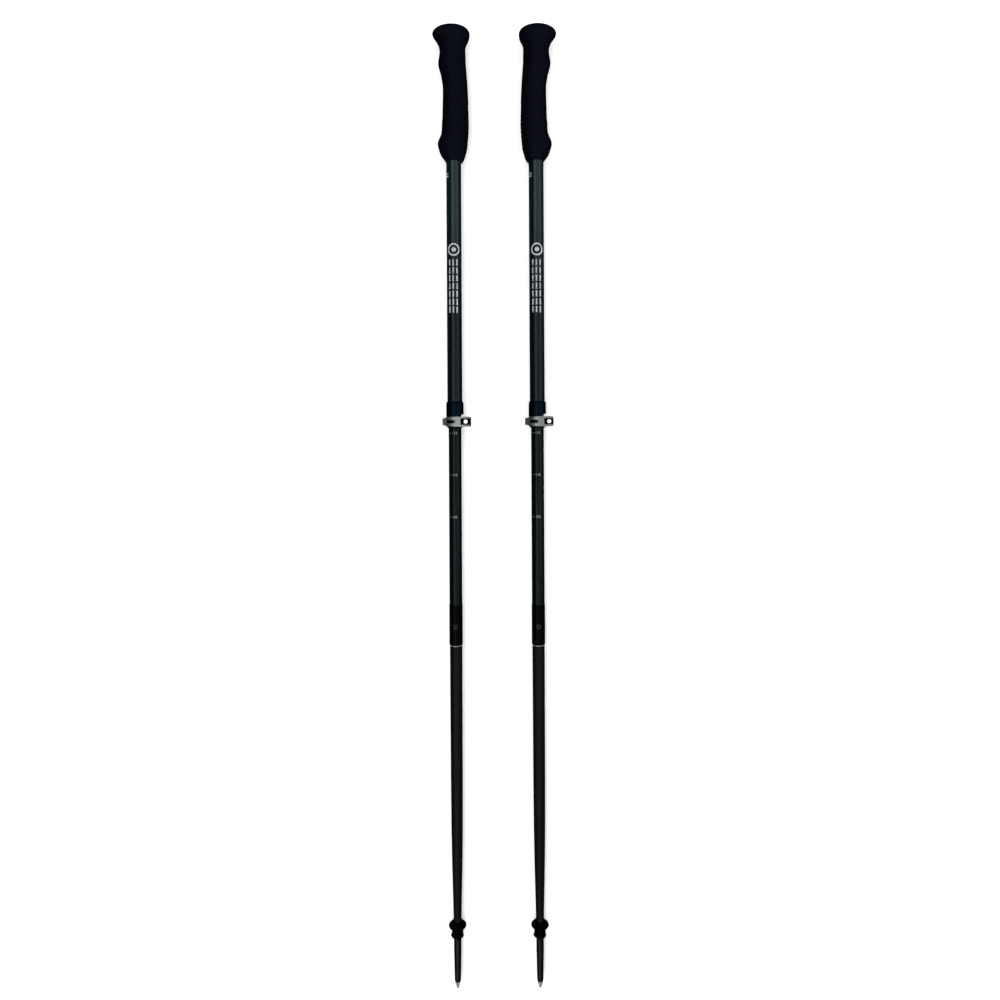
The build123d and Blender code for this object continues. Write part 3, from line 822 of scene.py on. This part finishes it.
def ink_materials(side):
    """Inks of the printed marks: fresh colour, and colour where rubbed off."""
    return {
        "numbers": ink(side, "scale_ink", (0.36, 0.38, 0.38), (0.08, 0.09, 0.09)),
        "print": ink(side, "print_ink", (0.72, 0.75, 0.76), (0.16, 0.18, 0.19)),
        "faint": ink(side, "faint_ink", (0.013, 0.0135, 0.014), (0.006, 0.006, 0.006)),
    }


def pole_materials(side):
    """Every material of one pole, by name."""
    return {
        **tube_materials(side),
        **plastic_materials(side),
        **metal_materials(side),
        **ink_materials(side),
    }


CAD_FINISHES = {
    "upper_tube": "upper",
    "mid_tube": "mid",
    "lower_tube": "lower",
    "joint_sleeve": "sleeve",
    "joint_ring": "ring",
    "female_insert": "insert",
    "carbide_point": "carbide",
    "tip_collar": "collar",
    "tube_end_plug": "nylon",
    "mid_top_bushing": "nylon",
    "thrust_pad": "nylon",
    "barrel_nut": "barrel",
}


# ---------------------------------------------------------------- putting the poles together

def shared_shapes():
    """The meshes that both poles have alike: name -> (mesh, body, material, slot)."""
    return {
        "clamp_lever": (evened("clamp_lever", 0.18, 6, lever_relief), "lever", "lever", "grey_alloy"),
        "clamp_ferrule": (evened("clamp_ferrule", 0.24, 4, ferrule_relief), "upper", "nylon", "nylon"),
        "clamp_band": (evened("clamp_band", 0.2, 4), "upper", "band", "black_alloy"),
        "basket_hub": (evened("basket_hub", 0.18, 4, hub_relief), "basket", "hub", "nylon"),
        "tip_body": (evened("tip_body", 0.22, 4, tip_relief), "lower", "tip", "tip_nylon"),
        "male_insert": (evened("male_insert", 0.2, 2, stud_relief), "lower", "insert", "bright_alloy"),
        "tension_screw": (evened("tension_screw", 0.12, 3, screw_relief), "screw", "screw", "steel"),
    }


def dress_pole(side, shapes, prints):
    """Gives one pole its finishes and its finer pieces."""
    finish = pole_materials(side)
    for node, name in CAD_FINISHES.items():
        mesh = frame["nodes"][f"{side}_{node}"].data
        mesh.materials.clear()
        mesh.materials.append(finish[name])
    for node, (mesh, body, name, slot) in shapes.items():
        place(mesh, f"{side}_{node}_fine", side, f"{side}_{body}", f"{side}_{node}",
              material=finish[name], slot=slot)
    grip = place(grip_mesh(side), f"{side}_grip", side, f"{side}_upper", f"{side}_grip_foam",
                 material=finish["foam"], slot="foam")
    for name, (mesh, body, ink_name) in prints.items():
        place(mesh, f"{side}_{name}", side, f"{side}_{body}", material=finish[ink_name], slot="sleeve")


# ---------------------------------------------------------------- stage

FLOOR_SIZE = 40.0
FLOOR_GAP = 0.0001
FLOOR_WHITE = 0.86
FLOOR_GLOW = 0.34
SURROUND = (0.9, 0.97, 1.0, 1)
SURROUND_STRENGTH = 0.09


def floor():
    """A plain pale floor just under the poles."""
    bpy.ops.mesh.primitive_plane_add(size=FLOOR_SIZE, location=(0, 0, cad_box[0].z - FLOOR_GAP))
    ground = bpy.context.object
    ground.name = "floor"
    material = bpy.data.materials.new("floor")
    material.use_nodes = True
    surface = material.node_tree.nodes["Principled BSDF"]
    surface.inputs["Base Color"].default_value = (FLOOR_WHITE, FLOOR_WHITE, FLOOR_WHITE, 1)
    surface.inputs["Roughness"].default_value = 0.9
    surface.inputs["Specular IOR Level"].default_value = 0.1
    surface.inputs["Emission Color"].default_value = (1, 1, 1, 1)
    surface.inputs["Emission Strength"].default_value = FLOOR_GLOW
    ground.data.materials.append(material)


def soft_box(name, location, aim, size, radiance):
    """A rectangular area light; its long side stays along the poles."""
    data = bpy.data.lights.new(name, "AREA")
    data.shape = "RECTANGLE"
    data.size, data.size_y = size
    data.energy = radiance * math.pi * size[0] * size[1]
    box = bpy.data.objects.new(name, data)
    bpy.context.scene.collection.objects.link(box)
    away = (Vector(location) - Vector(aim)).normalized()
    side_way = Vector((0, 1, 0)).cross(away).normalized()
    turn = Matrix((side_way, away.cross(side_way), away)).transposed().to_4x4()
    box.matrix_world = Matrix.Translation(location) @ turn


# name: where it stands, what it looks at, its size in metres, its radiance
SOFT_BOXES = {
    "key_box": ((-0.38, -0.2, 1.15), (-0.38, -0.2, 0), (0.45, 3.4), 4.7),
    "fill_box": ((0.45, 0.1, 1.05), (0.45, 0.1, 0), (0.60, 2.6), 1.0),
    "grip_box": ((0.45, 1.05, 1.04), (0.45, 1.05, 0), (0.50, 0.9), 1.5),
    "right_box": ((0.95, 0.45, 0.62), (0, 0.45, 0), (0.22, 1.5), 6.5),
    "low_right_box": ((0.62, -0.45, 0.90), (0, -0.45, 0), (0.20, 1.2), 2.0),
}


def lights():
    """A soft box over the poles and a little to the left, weaker ones to the right, and a dim surround."""
    for name, settings in SOFT_BOXES.items():
        soft_box(name, *settings)
    world = bpy.data.worlds.new("surround")
    world.use_nodes = True
    background = world.node_tree.nodes["Background"]
    background.inputs["Color"].default_value = SURROUND
    background.inputs["Strength"].default_value = SURROUND_STRENGTH
    bpy.context.scene.world = world


CAMERA_DISTANCE = 0.85  # from the poles' axes
CAMERA_AIM = 667.3  # the height along the poles where the lens looks square at them
CAMERA_ASIDE = 0.0045
CAMERA_ROLL = -0.30  # degrees
LENS = 25.54  # focal length and sensor width, in millimetres
SENSOR = 36.0
SHIFT = -0.07  # of the picture's height
FAR_CLIP = 50


def camera():
    """Above the poles, close and square to their axes, as a product photographer's camera on a boom."""
    across, down, along = [POLE["left"].col[i].xyz.normalized() for i in range(3)]
    aim = sum((POLE[side] @ Vector((0, 0, CAMERA_AIM)) for side in SIDES), Vector()) / len(SIDES)
    data = bpy.data.cameras.new("camera")
    data.lens = LENS
    data.sensor_width = SENSOR
    data.shift_y = SHIFT
    data.clip_end = FAR_CLIP
    eye = bpy.data.objects.new("camera", data)
    bpy.context.scene.collection.objects.link(eye)
    turn = Matrix((across, along, -down)).transposed().to_4x4()
    roll = Matrix.Rotation(math.radians(CAMERA_ROLL), 4, "Z")
    where = aim + across * CAMERA_ASIDE - down * CAMERA_DISTANCE
    eye.matrix_world = Matrix.Translation(where) @ turn @ roll
    bpy.context.scene.camera = eye


bpy.context.scene.view_settings.view_transform = "Standard"
fine_shapes = shared_shapes()
printed = {
    "scale_marks": (scale_marks(), "mid", "numbers"),
    "upper_print": (upper_print(), "upper", "print"),
    "sleeve_print": (sleeve_print(), "mid", "faint"),
}
for pole_side in SIDES:
    dress_pole(pole_side, fine_shapes, printed)
floor()
lights()
camera()
